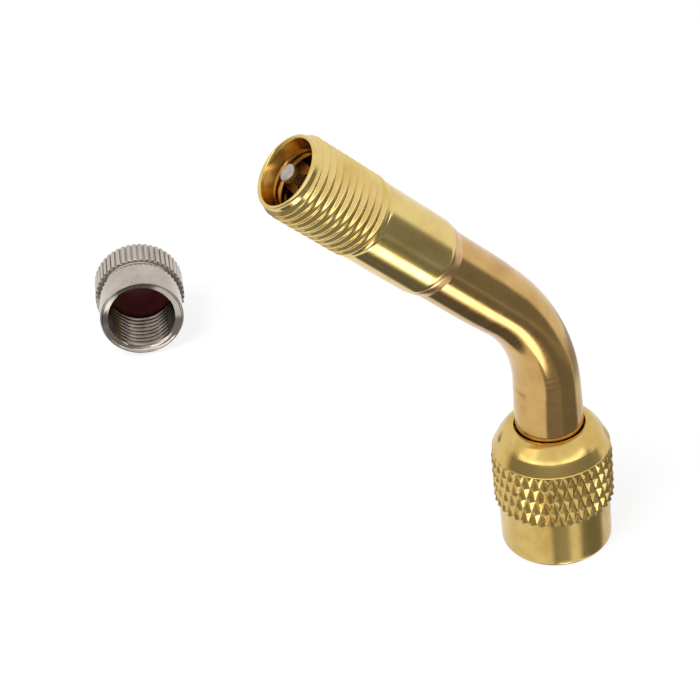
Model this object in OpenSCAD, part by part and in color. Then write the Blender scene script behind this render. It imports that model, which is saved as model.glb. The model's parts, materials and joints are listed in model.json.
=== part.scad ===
// Angled tyre valve extension with a swivel nut, its own valve core and a dust cap.
// The nut's axis is Z. The tube turns in the XZ plane, towards -X.
// Z = 0 is the first full turn of the nut's thread.

/* [Tube] */
// Outside diameter of the bent tube
tube_d = 6.7; // [6.3:0.1:7]
// Wall of the bent tube
tube_wall = 0.9; // [0.7:0.05:1.1]
// Angle that the tube turns through
turn = 43; // [20:1:60]
// Radius of the bend on the tube's centre line
bend_r = 16; // [12:0.5:24]
// Straight tube from its seat in the collar to the bend
lower_leg = 8.6; // [7:0.1:20]
// Straight tube from the bend to the end of the barrel
upper_leg = 10.3; // [4:0.1:30]
// Diameter of the spigot turned on the tube's upper end
spigot_d = 6; // [5.8:0.05:6.2]
// Length of the spigot inside the barrel
spigot_len = 3.5; // [2:0.1:4]

/* [Barrel] */
// Crest diameter of the valve thread
thread_d = 7.7; // [7.5:0.05:8]
// Diameter of the plain part of the barrel
barrel_d = 7.4; // [7.2:0.05:7.8]
// Length of the barrel from its mouth to the tube
barrel_len = 17.4; // [16.6:0.1:26]
// Length of full thread on the barrel
thread_len = 7.6; // [5:0.1:8.4]
// Diameter of the plain nose at the mouth
nose_d = 6.9; // [6.6:0.05:7.1]
// Length of the plain nose
nose_len = 0.6; // [0.4:0.1:1.2]
// Radius on the rim of the mouth
rim_r = 0.25; // [0.1:0.05:0.3]
// Diameter of the groove where the thread runs out
relief_d = 7.2; // [6.9:0.05:7.3]
// Width of the groove where the thread runs out
relief_w = 0.5; // [0.4:0.1:1]
// Length of the taper at the lower end of the barrel
tail_len = 0.5; // [0.3:0.1:2]
// Diameter at the small end of that taper
tail_d = 7.25; // [6.9:0.05:7.3]
// Length of the braze fillet on the tube
braze_len = 1.3; // [0.5:0.1:2]
// Diameter of the countersink at the mouth
mouth_d = 6.1; // [5.6:0.05:6.2]
// Depth of the countersink
mouth_depth = 1.2; // [0.4:0.1:1.7]
// Diameter of the bore that the core screws into
core_bore_d = 5.2; // [5.1:0.02:5.3]
// Diameter of the air chamber below the core's seat
chamber_d = 4.4; // [4.1:0.05:4.6]

/* [Core] */
// Depth of the pin's head below the mouth
pin_sink = 0.15; // [0.05:0.05:0.4]
// Travel of the pin
pin_travel = 1.2; // [0.6:0.1:1.4]
// Diameter of the pin
pin_d = 1; // [0.8:0.05:1.1]
// Diameter of the pin's flat head
pin_head_d = 1.75; // [1.5:0.05:1.9]
// Thickness of the pin's head
pin_head_t = 0.6; // [0.4:0.1:0.8]
// Height of the two-sided bridge on the plug
bridge_h = 1.2; // [0.8:0.1:1.6]
// Width across the bridge's flats
bridge_w = 2.6; // [2.2:0.1:3]
// Length of the plug's thread
plug_len = 2.4; // [1.6:0.1:3]
// Diameter of the core's neck under its gasket
neck_d = 3.4; // [3.1:0.1:3.6]
// Length of the core's neck
neck_len = 2.9; // [2.6:0.1:3.4]
// Diameter of the core's lower body
body_d = 3.9; // [3.7:0.1:4]
// Length of the core's lower body
body_len = 2.6; // [2:0.1:3.2]
// Length of the core's gasket
core_gasket_len = 2; // [1.4:0.1:2.4]
// Bore of the core, around the spring
spring_bore_d = 2.5; // [2.4:0.05:2.7]
// Thickness of the floor that the spring stands on
floor_t = 0.6; // [0.4:0.1:0.8]
// Diameter of the spring's wire
wire_d = 0.28; // [0.2:0.02:0.32]
// Turns of the spring
spring_turns = 6; // [4:1:7]
// Diameter of the valve cup
cup_d = 3.5; // [3.2:0.1:3.7]
// Height of the valve cup
cup_h = 1.2; // [1:0.1:1.5]
// Depth of the recess for the cup's seal
cup_recess = 0.7; // [0.5:0.05:0.8]

/* [Nut] */
// Diameter of the plain skirt
skirt_d = 11.1; // [10.8:0.1:11.4]
// Height of the plain skirt
skirt_h = 5.45; // [4:0.05:7]
// Diameter over the knurl
knurl_d = 12; // [11.8:0.1:12.6]
// Height of the knurled band
knurl_h = 5.95; // [4:0.05:8]
// Starts of the knurl each way
knurl_starts = 39; // [30:1:46]
// Rows of half diamonds in the knurl
knurl_rows = 4; // [3:1:8]
// Height of the domed top
dome_h = 2.4; // [2:0.1:3]
// Diameter of the dome where it leaves the knurl
shoulder_d = 11.5; // [11.3:0.05:11.7]
// Radius that the dome's side is bowed to
dome_bow = 5.8; // [5.2:0.1:7]
// How far the centre of that radius lies below the shoulder
dome_drop = 1.8; // [1.4:0.1:2.4]
// Radius on the lower rim
skirt_round = 0.45; // [0.2:0.05:0.6]
// Diameter of the threaded hole
nut_thread_d = 7.8; // [7.7:0.05:8]
// Length of the thread
nut_thread_len = 5.4; // [3.5:0.1:5.6]
// Depth of the lead-in at the nut's mouth
lead_in = 0.4; // [0.2:0.1:0.6]
// Thickness of the lip rolled over the collar
lip_t = 1.5; // [1.2:0.1:1.8]

/* [Tail] */
// Wall of the collar around the tube
collar_wall = 1; // [0.8:0.05:1.1]
// Height of the collar
collar_h = 2.4; // [2:0.1:2.8]
// Depth of the tube's seat in the collar
collar_seat = 1.8; // [1.2:0.1:1.8]
// Diameter of the nose that carries the gasket
gasket_nose_d = 4; // [3.6:0.1:4.4]
// Diameter of the air hole through the collar
air_hole_d = 2.5; // [2.2:0.1:2.8]
// Thickness of the nut's gasket
gasket_t = 1.6; // [1.2:0.1:1.8]
// Diameter of the depressor pin
depressor_d = 1.6; // [1.2:0.1:1.8]
// Reach of the depressor pin below the gasket
depressor_reach = 1.4; // [0.8:0.1:1.5]
// Thickness of the depressor's three-armed head
spider_t = 0.9; // [0.6:0.1:1.2]
// Width of each arm
spider_arm = 0.9; // [0.7:0.1:1.2]

/* [Cap] */
// Diameter of the cap's plain skirt
cap_skirt_d = 10; // [9.4:0.1:10.2]
// Diameter over the cap's flutes
cap_crown_d = 10.8; // [10.4:0.1:11.4]
// Length of the cap
cap_len = 9.2; // [8:0.1:12]
// Length of the fluted crown
crown_len = 4.4; // [3:0.1:5]
// Number of flutes
flutes = 48; // [36:1:56]
// Depth of a flute
flute_depth = 0.3; // [0.2:0.05:0.35]
// Thickness of the cap's end
cap_end_t = 1.4; // [1:0.1:1.8]
// Diameter of the cap's thread
cap_thread_d = 7.8; // [7.7:0.05:8]
// Depth of the countersink at the cap's mouth
cap_sink = 0.8; // [0.4:0.1:1]
// Thickness of the cap's seal
cap_seal_t = 1; // [0.6:0.1:1.4]
// Where the cap lies, across the tube's plane
cap_y = 60; // [20:1:80]
// Where the cap lies, along the tube's plane
cap_x = -22; // [-60:1:-15]
// Heading of the cap's mouth
cap_heading = -108; // [-170:1:-60]

/* [Hidden] */
$fn = 72;

// Clearances
run_gap = 0.2;
collar_gap = 0.25;
nut_float = 0.3;
snug = 0.02;
thread_gap = 0.05;
seat_gap = 0.05;
air_gap = 0.25;
cut = 1;

// Heights along the nut's axis
z_rim = -lead_in;
z_knurl = z_rim + skirt_h;
z_dome = z_knurl + knurl_h;
z_top = z_dome + dome_h;
z_roof = z_top - lip_t;
z_collar_top = z_roof - nut_float;
z_collar = z_collar_top - collar_h;
z_seat = z_collar_top - collar_seat;
z_gasket = z_collar - gasket_t;
z_tip = z_gasket - depressor_reach;
z_bend = z_seat + lower_leg;

// Radii of the nut and what it holds
tube_r = tube_d / 2;
tube_bore_r = tube_r - tube_wall;
hole_r = tube_r + run_gap;
collar_r = tube_r + collar_wall;
nut_chamber_r = collar_r + collar_gap;
nut_thread_r = nut_thread_d / 2;
skirt_r = skirt_d / 2;
knurl_r = knurl_d / 2;
knurl_lap = 0.05;
shoulder_r = shoulder_d / 2;
dome_centre = shoulder_r - sqrt(pow(dome_bow, 2) - pow(dome_drop, 2));
valley_r = skirt_r + 0.07;
ring_r = skirt_r - 0.5;
knurl_step = knurl_h / knurl_rows;
hole_edge = 0.2;

// The bend is drawn a little thinner than the legs
bend_thin = 0.03;
bend_lap = 0.05;

// Lengths along the upper leg, from the end of the bend
bend_end = [-bend_r * (1 - cos(turn)), 0, z_bend + bend_r * sin(turn)];
v_mouth = upper_leg + barrel_len;

// Depths of the core, from the mouth
d_head = pin_sink + pin_head_t;
d_bridge = d_head + pin_travel + air_gap;
d_plug = d_bridge + bridge_h;
d_neck = d_plug + plug_len;
d_body = d_neck + neck_len;
d_core_end = d_body + body_len;
d_floor = d_core_end - floor_t;
d_gasket = d_body - core_gasket_len;
d_stop = d_neck + air_gap;
stop_t = 0.5;
d_spring = d_stop + stop_t;
d_cup_seal = d_core_end + seat_gap;
d_cup = d_cup_seal + cup_recess / 2;
d_cup_floor = d_cup + cup_recess;
d_cup_end = d_cup + cup_h;
rivet_t = 0.4;

// Radii of the core
core_bore_r = core_bore_d / 2;
chamber_r = chamber_d / 2;
plug_r = core_bore_r - thread_gap;
pin_r = pin_d / 2;
pin_way_r = pin_r + air_gap;
plug_way_r = pin_way_r + air_gap;
stop_r = spring_bore_d / 2 - run_gap;
coil_r = stop_r - wire_d / 2;
cup_seal_r = cup_d / 2 - 0.2;
rivet_r = pin_r + 0.3;

// Sizes of the cap
cap_skirt_r = cap_skirt_d / 2;
cap_crown_r = cap_crown_d / 2;
cap_thread_r = cap_thread_d / 2;
cap_recess_r = cap_thread_r + 0.2;
crown_bevel = 0.5;
cap_core_r = cap_crown_r - flute_depth;
flute_half = 180 / flutes;
z_cap = z_rim + cap_crown_r * cos(flute_half);

// Puts its children on the upper leg, v from the end of the bend.
module on_leg(v = 0) translate(bend_end) rotate([0, -turn, 0]) translate([0, 0, v]) children();

// Puts its children at a depth below the mouth, with Z pointing inwards.
module below_mouth(d = 0) on_leg(v_mouth - d) rotate([180, 0, 0]) children();

// Lays its children on the cap's axis, with Z out of the mouth and two ridges on the ground.
module on_cap() translate([cap_x, cap_y, z_cap]) rotate([0, 0, cap_heading]) rotate([0, 90, 0])
  rotate([0, 0, flute_half]) translate([0, 0, -cap_len / 2]) children();

module ring(h, r_out, r_in) {
  difference() {
    cylinder(h = h, r = r_out);
    translate([0, 0, -cut]) cylinder(h = h + 2 * cut, r = r_in);
  }
}

// The path of the tube, filled to radius r, with each end drawn out by a length.
module tube_path(r, below, above) {
  translate([0, 0, z_seat - below]) cylinder(h = lower_leg + below + bend_lap, r = r);
  translate([-bend_r, 0, z_bend]) rotate([90, 0, 0])
    rotate_extrude(angle = turn) translate([bend_r, 0]) circle(r - bend_thin);
  on_leg(-bend_lap) cylinder(h = upper_leg + above + bend_lap, r = r);
}

module bend_tube() {
  color("peru") difference() {
    union() {
      tube_path(tube_r, 0, 0);
      on_leg(upper_leg - bend_lap) cylinder(h = spigot_len + bend_lap, r = spigot_d / 2);
    }
    tube_path(tube_bore_r, cut, spigot_len + cut);
  }
}

module valve_barrel() {
  thread_r = thread_d / 2;
  nose_r = nose_d / 2;
  relief_r = relief_d / 2;
  barrel_r = barrel_d / 2;
  d_thread = nose_len + thread_r - nose_r;
  d_relief = d_thread + thread_len;
  d_plain = d_relief + relief_w;
  color("goldenrod") below_mouth() difference() {
    rotate_extrude() {
      polygon([
        [0, rim_r], [nose_r, rim_r], [nose_r, nose_len], [thread_r, d_thread],
        [thread_r, d_relief], [relief_r, d_relief + thread_r - relief_r], [relief_r, d_plain],
        [barrel_r, d_plain + barrel_r - relief_r], [barrel_r, barrel_len - tail_len],
        [tail_d / 2, barrel_len], [0, barrel_len]]);
      translate([nose_r - rim_r, rim_r]) circle(rim_r);
      square([nose_r - rim_r, rim_r]);
    }
    rotate_extrude() polygon([
      [0, -cut], [mouth_d / 2, -cut], [mouth_d / 2, 0], [core_bore_r, mouth_depth],
      [core_bore_r, d_gasket], [chamber_r, d_body], [chamber_r, barrel_len + cut], [0, barrel_len + cut]]);
    translate([0, 0, barrel_len - spigot_len]) cylinder(h = spigot_len + cut, r = spigot_d / 2 + snug);
  }
}

module braze_ring() {
  color("rosybrown") on_leg(upper_leg - braze_len) rotate_extrude() polygon([
    [tube_r + snug, 0], [tube_r + 2 * snug, 0], [tail_d / 2 - snug, braze_len], [tube_r + snug, braze_len]]);
}

module core_plug() {
  color("darkgoldenrod") below_mouth(d_bridge) difference() {
    union() {
      translate([0, 0, bridge_h]) cylinder(h = plug_len, r = plug_r);
      intersection() {
        cylinder(h = bridge_h + plug_len / 2, r = plug_r - thread_gap);
        translate([-bridge_w / 2, -plug_r, 0]) cube([bridge_w, 2 * plug_r, bridge_h + plug_len / 2]);
      }
    }
    translate([0, 0, -cut]) cylinder(h = bridge_h + cut, r = pin_way_r);
    translate([0, 0, bridge_h / 2]) cylinder(h = bridge_h + plug_len + cut, r = plug_way_r);
  }
}

module core_barrel() {
  color("khaki") below_mouth(d_neck) difference() {
    union() {
      cylinder(h = neck_len, r = neck_d / 2);
      translate([0, 0, neck_len]) cylinder(h = body_len, r = body_d / 2);
    }
    translate([0, 0, -cut]) cylinder(h = d_floor - d_neck + cut, r = spring_bore_d / 2);
    cylinder(h = neck_len + body_len + cut, r = pin_way_r);
  }
}

module core_gasket() {
  color("indianred") below_mouth(d_gasket) rotate_extrude() polygon([
    [neck_d / 2 + snug, 0], [core_bore_r - snug, 0], [chamber_r - snug, core_gasket_len],
    [neck_d / 2 + snug, core_gasket_len]]);
}

module core_pin() {
  head_r = pin_head_d / 2;
  color("silver") below_mouth() rotate_extrude() polygon([
    [0, pin_sink], [head_r, pin_sink], [head_r, d_head], [pin_r, d_head], [pin_r, d_stop],
    [stop_r, d_stop], [stop_r, d_spring], [pin_r, d_spring], [pin_r, d_cup_end],
    [rivet_r, d_cup_end], [rivet_r, d_cup_end + rivet_t], [0, d_cup_end + rivet_t]]);
}

// A helix of round wire, swept as rings of points.
module coil(h, r, turns, wire) {
  steps = turns * 14;
  sides = 6;
  rise = h - wire;
  points = [for (i = [0:steps], k = [0:sides - 1])
    let (a = 360 * turns * i / steps, b = 360 * k / sides, q = r + wire / 2 * cos(b))
    [q * cos(a), q * sin(a), wire / 2 + rise * i / steps + wire / 2 * sin(b)]];
  walls = [for (i = [0:steps - 1], k = [0:sides - 1])
    let (m = (k + 1) % sides, p = i * sides)
    [p + k, p + sides + k, p + sides + m, p + m]];
  polyhedron(points, concat(walls,
    [[for (k = [0:sides - 1]) k]], [[for (k = [sides - 1:-1:0]) steps * sides + k]]));
}

module core_spring() {
  color("gainsboro") below_mouth(d_spring + snug)
    coil(d_floor - d_spring - 2 * snug, coil_r, spring_turns, wire_d);
}

module core_cup() {
  color("darkkhaki") below_mouth(d_cup) difference() {
    cylinder(h = cup_h, r = cup_d / 2);
    translate([0, 0, -cut]) cylinder(h = cup_recess + cut, r = cup_seal_r + snug);
    cylinder(h = cup_h + cut, r = pin_r + snug);
  }
}

module core_cup_seal() {
  color("dimgray") below_mouth(d_cup_seal) ring(d_cup_floor - d_cup_seal, cup_seal_r, pin_r + snug);
}

module tail_collar() {
  color("sandybrown") difference() {
    union() {
      translate([0, 0, z_collar]) cylinder(h = collar_h, r = collar_r);
      translate([0, 0, z_gasket]) cylinder(h = gasket_t + collar_h / 2, r = gasket_nose_d / 2);
    }
    translate([0, 0, z_seat]) cylinder(h = collar_seat + cut, r = tube_r + snug);
    translate([0, 0, z_gasket - cut]) cylinder(h = z_seat - z_gasket + 2 * cut, r = air_hole_d / 2);
  }
}

module nut_gasket() {
  color("black") translate([0, 0, z_gasket]) ring(gasket_t, collar_r, gasket_nose_d / 2 + snug);
}

module depressor_pin() {
  color("lightgray") {
    translate([0, 0, z_tip]) cylinder(h = z_seat + spider_t - z_tip, r = depressor_d / 2);
    translate([0, 0, z_seat]) intersection() {
      cylinder(h = spider_t, r = tube_bore_r - snug);
      for (a = [0:120:240])
        rotate([0, 0, a]) translate([0, -spider_arm / 2, 0]) cube([tube_r, spider_arm, spider_t]);
    }
  }
}

// A ring whose outside is a lattice of four-sided points, valley to valley.
module knurl() {
  n = 2 * knurl_starts;
  rows = knurl_rows;
  outer = [for (j = [0:rows], i = [0:n - 1])
    let (a = 360 * i / n, r = (i + j) % 2 == 0 ? valley_r : j == rows ? shoulder_r : knurl_r)
    [r * cos(a), r * sin(a), z_knurl + j * knurl_step]];
  inner = [for (j = [0, rows], i = [0:n - 1])
    let (a = 360 * i / n) [ring_r * cos(a), ring_r * sin(a), z_knurl + j * knurl_step]];
  low = (rows + 1) * n;
  high = low + n;
  faces = [for (j = [0:rows - 1], i = [0:n - 1])
    let (m = (i + 1) % n, p = j * n + i, q = j * n + m, s = q + n, t = p + n)
    each ((i + j) % 2 == 0 ? [[p, t, s], [p, s, q]] : [[p, t, q], [q, t, s]])];
  ends = [for (i = [0:n - 1]) let (m = (i + 1) % n, u = rows * n)
    each [[i, m, low + m], [i, low + m, low + i], [u + i, high + i, high + m], [u + i, high + m, u + m],
      [low + i, low + m, high + m], [low + i, high + m, high + i]]];
  polyhedron(concat(outer, inner), concat(faces, ends));
}

module swivel_nut() {
  color("gold") difference() {
    union() {
      rotate_extrude() {
        translate([0, z_rim + skirt_round]) square([skirt_r, z_dome - z_rim - skirt_round]);
        translate([skirt_r - skirt_round, z_rim + skirt_round]) circle(skirt_round);
        translate([0, z_rim]) square([skirt_r - skirt_round, skirt_round]);
        intersection() {
          translate([dome_centre, z_dome - dome_drop]) circle(dome_bow);
          translate([0, z_dome - knurl_lap]) square([knurl_r, dome_h + knurl_lap]);
        }
      }
      knurl();
    }
    rotate_extrude() polygon([
      [0, z_rim - cut], [nut_thread_r + lead_in + cut, z_rim - cut], [nut_thread_r, 0],
      [nut_thread_r, nut_thread_len], [nut_chamber_r, nut_thread_len + nut_chamber_r - nut_thread_r],
      [nut_chamber_r, z_roof], [hole_r, z_roof], [hole_r, z_top - hole_edge],
      [hole_r + hole_edge + cut, z_top + cut], [0, z_top + cut]]);
  }
}

// The crown's outline, with a sharp ridge between flutes.
module flute_outline() polygon([for (i = [0:2 * flutes - 1])
  let (a = flute_half * i, r = i % 2 == 0 ? cap_crown_r : cap_core_r) [r * cos(a), r * sin(a)]]);

module cap_shell() {
  color("lightslategray") on_cap() difference() {
    union() {
      rotate_extrude() polygon([
        [0, 0], [cap_core_r - crown_bevel, 0], [cap_core_r - snug, crown_bevel],
        [cap_core_r - snug, crown_len], [cap_skirt_r - flute_depth, crown_len],
        [cap_skirt_r, crown_len + flute_depth], [cap_skirt_r, cap_len - rim_r],
        [cap_skirt_r - rim_r, cap_len], [0, cap_len]]);
      translate([0, 0, crown_bevel]) linear_extrude(crown_len - 2 * crown_bevel) flute_outline();
    }
    translate([0, 0, cap_end_t]) cylinder(h = cap_len, r = cap_thread_r);
    translate([0, 0, cap_end_t]) cylinder(h = cap_seal_t, r = cap_recess_r);
    translate([0, 0, cap_len - cap_sink]) cylinder(h = cap_sink, r1 = cap_thread_r, r2 = cap_thread_r + cap_sink / 2);
  }
}

module cap_seal() {
  color("darkred") on_cap() translate([0, 0, cap_end_t]) cylinder(h = cap_seal_t, r = cap_recess_r - snug);
}

bend_tube();
valve_barrel();
braze_ring();
core_plug();
core_barrel();
core_gasket();
core_pin();
core_spring();
core_cup();
core_cup_seal();
tail_collar();
nut_gasket();
depressor_pin();
swivel_nut();
cap_shell();
cap_seal();
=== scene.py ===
"""Dresses the angled tyre valve extension: turned, knurled and brazed brass, its core and its cap."""

import json
import logging
import math
from dataclasses import dataclass
from enum import Enum
from typing import Any, Callable, Sequence

import bmesh
import bpy
from mathutils import Matrix, Vector, noise

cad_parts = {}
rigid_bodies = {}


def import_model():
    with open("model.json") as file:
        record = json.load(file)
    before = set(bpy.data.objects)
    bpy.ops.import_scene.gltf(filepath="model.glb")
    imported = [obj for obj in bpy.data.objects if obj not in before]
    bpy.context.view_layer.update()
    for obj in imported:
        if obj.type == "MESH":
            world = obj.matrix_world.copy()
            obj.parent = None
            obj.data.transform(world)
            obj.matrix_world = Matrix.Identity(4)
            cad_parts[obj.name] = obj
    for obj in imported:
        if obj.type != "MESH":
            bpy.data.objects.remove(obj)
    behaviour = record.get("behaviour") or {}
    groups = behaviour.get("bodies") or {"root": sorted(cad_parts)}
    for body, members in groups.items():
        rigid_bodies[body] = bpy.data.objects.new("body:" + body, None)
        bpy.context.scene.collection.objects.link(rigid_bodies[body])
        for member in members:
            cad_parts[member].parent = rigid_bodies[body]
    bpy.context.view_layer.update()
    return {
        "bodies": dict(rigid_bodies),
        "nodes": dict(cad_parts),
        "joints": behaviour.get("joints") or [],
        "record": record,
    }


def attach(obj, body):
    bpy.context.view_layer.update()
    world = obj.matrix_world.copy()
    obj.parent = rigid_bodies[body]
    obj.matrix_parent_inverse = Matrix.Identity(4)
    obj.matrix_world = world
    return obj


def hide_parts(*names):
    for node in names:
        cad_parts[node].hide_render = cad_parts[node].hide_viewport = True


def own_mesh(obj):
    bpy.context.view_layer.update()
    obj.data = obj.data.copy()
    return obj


LOG = logging.getLogger("valve")
MM = 0.001
TAU = 2.0 * math.pi
WHITE = (1.0, 1.0, 1.0, 1.0)
# Radius in mm below which a ring of a turned outline is one point.
POLE_R = 1e-9
# Pitch in mm of the valve's outer thread, which the nut and the cap share.
VALVE_PITCH = 0.794

# Sockets of a Mix node: its factor, then the two values and the result, for colours and for numbers.
FACTOR = 0
COLOUR_A, COLOUR_B, COLOUR_OUT = 6, 7, 2
NUMBER_A, NUMBER_B, NUMBER_OUT = 2, 3, 0

Point = tuple[float, float]
Pair = tuple[float, float]
Triple = tuple[float, float, float]
Depth = Callable[[float, float], float]
Socket = bpy.types.NodeSocket


class Body(str, Enum):
    """The bodies of the frame that pieces ride on."""

    ELBOW = "elbow"
    NUT = "nut"
    PIN = "pin"


class Slot(str, Enum):
    """The record's material slots of the pieces that are built here."""

    TURNED_BRASS = "turned_brass"
    DRAWN_BRASS = "drawn_brass"
    BRAZE = "braze_alloy"
    PIN_STEEL = "pin_steel"
    NICKEL = "nickel_plate"
    RED_RUBBER = "red_rubber"


# ---------------------------------------------------------------- finishes

# Ranges of a metal's noise and shading over which an effect goes from none to all.
PATCH_RANGE = (0.42, 0.72)
MARK_RANGE = (0.12, 0.4)
SHADE_RANGE = (0.2, 0.8)
# The most that a hidden groove takes of its painted shade colour.
GROOVE_SHADE_SHARE = 0.55


def linear(hex_colour: str) -> tuple[float, float, float, float]:
    """Turns an sRGB hex colour into linear RGBA.

    Args:
        hex_colour: Colour such as "#d8b45a".

    Returns:
        Linear red, green, blue and an alpha of 1.
    """
    parts = [int(hex_colour[i : i + 2], 16) / 255.0 for i in (1, 3, 5)]
    red, green, blue = [c / 12.92 if c <= 0.04045 else ((c + 0.055) / 1.055) ** 2.4 for c in parts]
    return red, green, blue, 1.0


def add(tree: bpy.types.NodeTree, kind: str, inputs: dict[Any, Any] | None = None,
        **settings: Any) -> bpy.types.Node:
    """Adds a node with its settings, values and links.

    Args:
        tree: Node tree that takes the node.
        kind: Blender's name for the node.
        inputs: Values or sockets by the name or number of an input.
        **settings: Properties of the node.

    Returns:
        The new node.
    """
    node = tree.nodes.new(kind)
    for key, value in settings.items():
        setattr(node, key, value)
    for key, value in (inputs or {}).items():
        if isinstance(value, Socket):
            tree.links.new(value, node.inputs[key])
        else:
            node.inputs[key].default_value = value
    return node


def start_material(name: str) -> tuple[bpy.types.Material, bpy.types.NodeTree, bpy.types.Node]:
    """Makes an empty material.

    Args:
        name: Name of the material.

    Returns:
        The material, its tree and its output node.
    """
    material = bpy.data.materials.new(name)
    material.use_nodes = True
    tree = material.node_tree
    tree.nodes.clear()
    return material, tree, add(tree, "ShaderNodeOutputMaterial")


@dataclass(frozen=True)
class MetalFinish:
    """A bare or plated metal whose surface keeps the marks of how it was cut or drawn.

    The marks follow the mesh's own lengths along its outline, and the heat colour, where there is one,
    shows where the mesh says that it was heated. Grooves and hollows that the mesh hides are painted darker, as
    shade.
    """

    name: str
    bright: str
    dull: str
    # The colour of the painted shade in grooves and hollows.
    groove: str
    rough: Pair
    mark_mm: float
    mark_lift_mm: float
    patch_mm: float
    grain_mm: float
    grain_lift_mm: float
    # How far from a hiding surface the painted shade reaches, in mm.
    shade_mm: float = 0.45
    heat: str = ""

    def material(self) -> bpy.types.Material:
        """Builds the node tree of this metal.

        Returns:
            The material: tarnish patches, painted shade in grooves and hollows, tool marks and fine grain.
        """
        made, tree, out = start_material(self.name)
        place = add(tree, "ShaderNodeTexCoord").outputs["Object"]
        feed = add(tree, "ShaderNodeAttribute", attribute_name="feed").outputs["Fac"]
        patch = add(tree, "ShaderNodeTexNoise",
                    {"Vector": place, "Scale": 1.0 / (self.patch_mm * MM), "Detail": 4.0, "Roughness": 0.6})
        patches = add(tree, "ShaderNodeMapRange",
                      {"Value": patch.outputs["Fac"], "From Min": PATCH_RANGE[0], "From Max": PATCH_RANGE[1]})
        tarnished = add(tree, "ShaderNodeMix",
                        {FACTOR: patches.outputs["Result"], COLOUR_A: linear(self.bright),
                         COLOUR_B: linear(self.dull)}, data_type="RGBA")
        if self.heat:
            heated = add(tree, "ShaderNodeAttribute", attribute_name="heat").outputs["Fac"]
            tarnished = add(tree, "ShaderNodeMix",
                            {FACTOR: heated, COLOUR_A: tarnished.outputs[COLOUR_OUT],
                             COLOUR_B: linear(self.heat)}, data_type="RGBA")
        # Painted shade: where the mesh hides a point, its colour goes towards the groove colour.
        shade = add(tree, "ShaderNodeAmbientOcclusion", {"Distance": self.shade_mm * MM},
                    samples=6, only_local=True)
        shade_share = add(tree, "ShaderNodeMapRange",
                     {"Value": shade.outputs["AO"], "From Min": SHADE_RANGE[0], "From Max": SHADE_RANGE[1],
                      "To Min": GROOVE_SHADE_SHARE, "To Max": 0.0})
        painted_shade = add(tree, "ShaderNodeMix",
                      {FACTOR: shade_share.outputs["Result"], COLOUR_A: tarnished.outputs[COLOUR_OUT],
                       COLOUR_B: linear(self.groove)}, data_type="RGBA")
        marks = add(tree, "ShaderNodeTexNoise",
                    {"W": feed, "Scale": 1.0 / self.mark_mm, "Detail": 2.0}, noise_dimensions="1D")
        grain = add(tree, "ShaderNodeTexNoise",
                    {"Vector": place, "Scale": 1.0 / (self.grain_mm * MM), "Detail": 3.0})
        mixed = add(tree, "ShaderNodeMath",
                    {0: marks.outputs["Fac"], 1: patch.outputs["Fac"]}, operation="MULTIPLY")
        rough = add(tree, "ShaderNodeMapRange",
                    {"Value": mixed.outputs["Value"], "From Min": MARK_RANGE[0], "From Max": MARK_RANGE[1],
                     "To Min": self.rough[0], "To Max": self.rough[1]})
        turned = add(tree, "ShaderNodeBump",
                     {"Height": marks.outputs["Fac"], "Strength": 1.0, "Distance": self.mark_lift_mm * MM})
        fine = add(tree, "ShaderNodeBump",
                   {"Height": grain.outputs["Fac"], "Strength": 1.0, "Distance": self.grain_lift_mm * MM,
                    "Normal": turned.outputs["Normal"]})
        shader = add(tree, "ShaderNodeBsdfPrincipled",
                     {"Base Color": painted_shade.outputs[COLOUR_OUT], "Metallic": 1.0,
                      "Roughness": rough.outputs["Result"], "Normal": fine.outputs["Normal"]})
        tree.links.new(shader.outputs["BSDF"], out.inputs["Surface"])
        return made


@dataclass(frozen=True)
class RubberFinish:
    """Moulded rubber: matt, a little uneven in colour, with the mould's fine grain."""

    name: str
    base: str
    pale: str
    rough: float
    grain_mm: float
    grain_lift_mm: float
    bloom_grains: float = 4.0

    def material(self) -> bpy.types.Material:
        """Builds the node tree of this rubber.

        Returns:
            The material: two close colours in soft patches, and a fine moulded grain.
        """
        made, tree, out = start_material(self.name)
        place = add(tree, "ShaderNodeTexCoord").outputs["Object"]
        fineness = 1.0 / (self.grain_mm * MM)
        bloom = add(tree, "ShaderNodeTexNoise",
                    {"Vector": place, "Scale": fineness / self.bloom_grains, "Detail": 4.0})
        colour = add(tree, "ShaderNodeMix",
                     {FACTOR: bloom.outputs["Fac"], COLOUR_A: linear(self.base), COLOUR_B: linear(self.pale)},
                     data_type="RGBA")
        grain = add(tree, "ShaderNodeTexNoise", {"Vector": place, "Scale": fineness, "Detail": 3.0})
        bump = add(tree, "ShaderNodeBump",
                   {"Height": grain.outputs["Fac"], "Strength": 1.0, "Distance": self.grain_lift_mm * MM})
        shader = add(tree, "ShaderNodeBsdfPrincipled",
                     {"Base Color": colour.outputs[COLOUR_OUT], "Roughness": self.rough, "IOR": 1.52,
                      "Normal": bump.outputs["Normal"]})
        tree.links.new(shader.outputs["BSDF"], out.inputs["Surface"])
        return made


# Free-cutting brass off the lathe: yellow, bright, with fine rings and painted brown shade in the grooves.
# The rings of a fine feed are 0.05 mm apart; they are drawn at 0.14 mm so that they show.
TURNED = MetalFinish(
    name="turned_brass", bright="#e3c982", dull="#d6b468", groove="#8a6828", rough=(0.1, 0.2),
    mark_mm=0.14, mark_lift_mm=0.0016, patch_mm=3.0, grain_mm=0.06, grain_lift_mm=0.0005)
# The nut, tumbled after turning: the same brass with a softer, satin glint.
TUMBLED = MetalFinish(
    name="tumbled_brass", bright="#d6b970", dull="#c7a45a", groove="#94773f", rough=(0.16, 0.25),
    mark_mm=0.12, mark_lift_mm=0.0014, patch_mm=2.4, grain_mm=0.05, grain_lift_mm=0.0005, shade_mm=0.3)
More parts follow.
